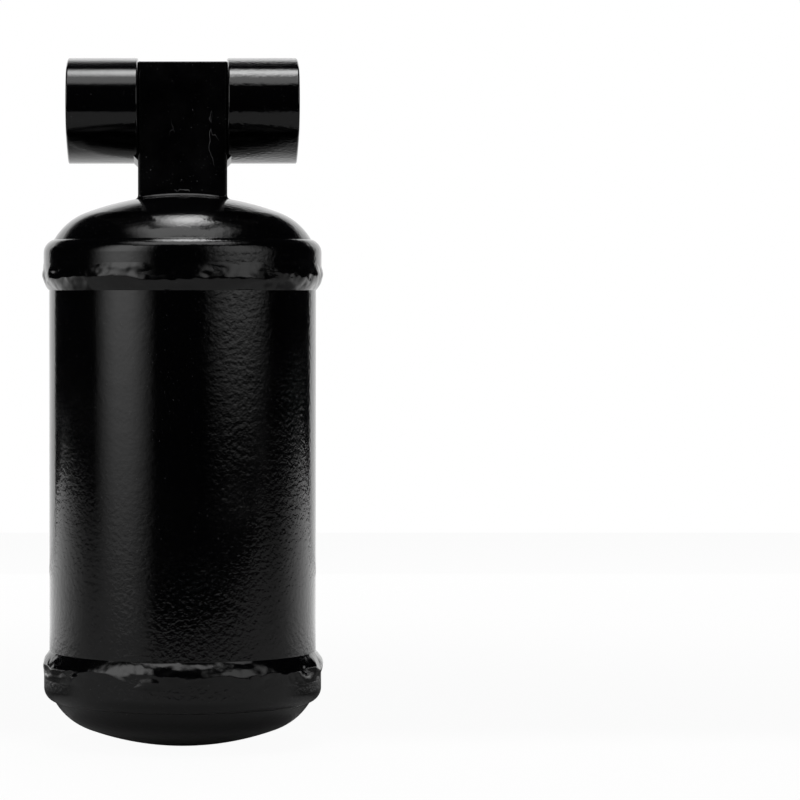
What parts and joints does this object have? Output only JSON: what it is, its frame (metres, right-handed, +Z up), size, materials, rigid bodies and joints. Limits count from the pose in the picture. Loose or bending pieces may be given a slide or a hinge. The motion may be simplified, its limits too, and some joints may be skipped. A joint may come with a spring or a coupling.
{
  "type": "filter drier",
  "caption": "Welded steel filter drier: black can with domed caps, heavy girth welds and a square top column that carries a teardrop port lug on each side.",
  "frame": {"origin": "centre of the can's foot, on the can's axis, at the lowest point of the lower cap", "axes": "+Z up along the can's axis; the lugs lie along X, inlet at -X and outlet at +X; their noses with the pad bolt holes point along -Y"},
  "size_m": [0.08, 0.08, 0.1957],
  "materials": {
    "black_paint": "gloss",
    "painted_weld": "gloss",
    "bare_steel": "satin",
    "spring_steel": "satin",
    "copper_tube": "satin",
    "brass_screen": "satin",
    "fibre_pad": "matte",
    "desiccant_beads": "matte"
  },
  "bodies": {
    "root": {"shell_tube": "black_paint", "upper_end_cap": "black_paint", "lower_end_cap": "black_paint", "upper_weld_bead": "painted_weld", "lower_weld_bead": "painted_weld", "neck_weld": "painted_weld", "head_column": "black_paint", "inlet_lug": "black_paint", "outlet_lug": "black_paint", "inlet_braze_seam": "painted_weld", "outlet_braze_seam": "painted_weld", "pickup_tube": "copper_tube", "pickup_screen": "brass_screen", "lower_perforated_plate": "bare_steel", "lower_filter_pad": "fibre_pad", "desiccant_charge": "desiccant_beads", "upper_filter_pad": "fibre_pad", "upper_perforated_plate": "bare_steel", "pressure_spring": "spring_steel"}
  },
  "joints": []
}
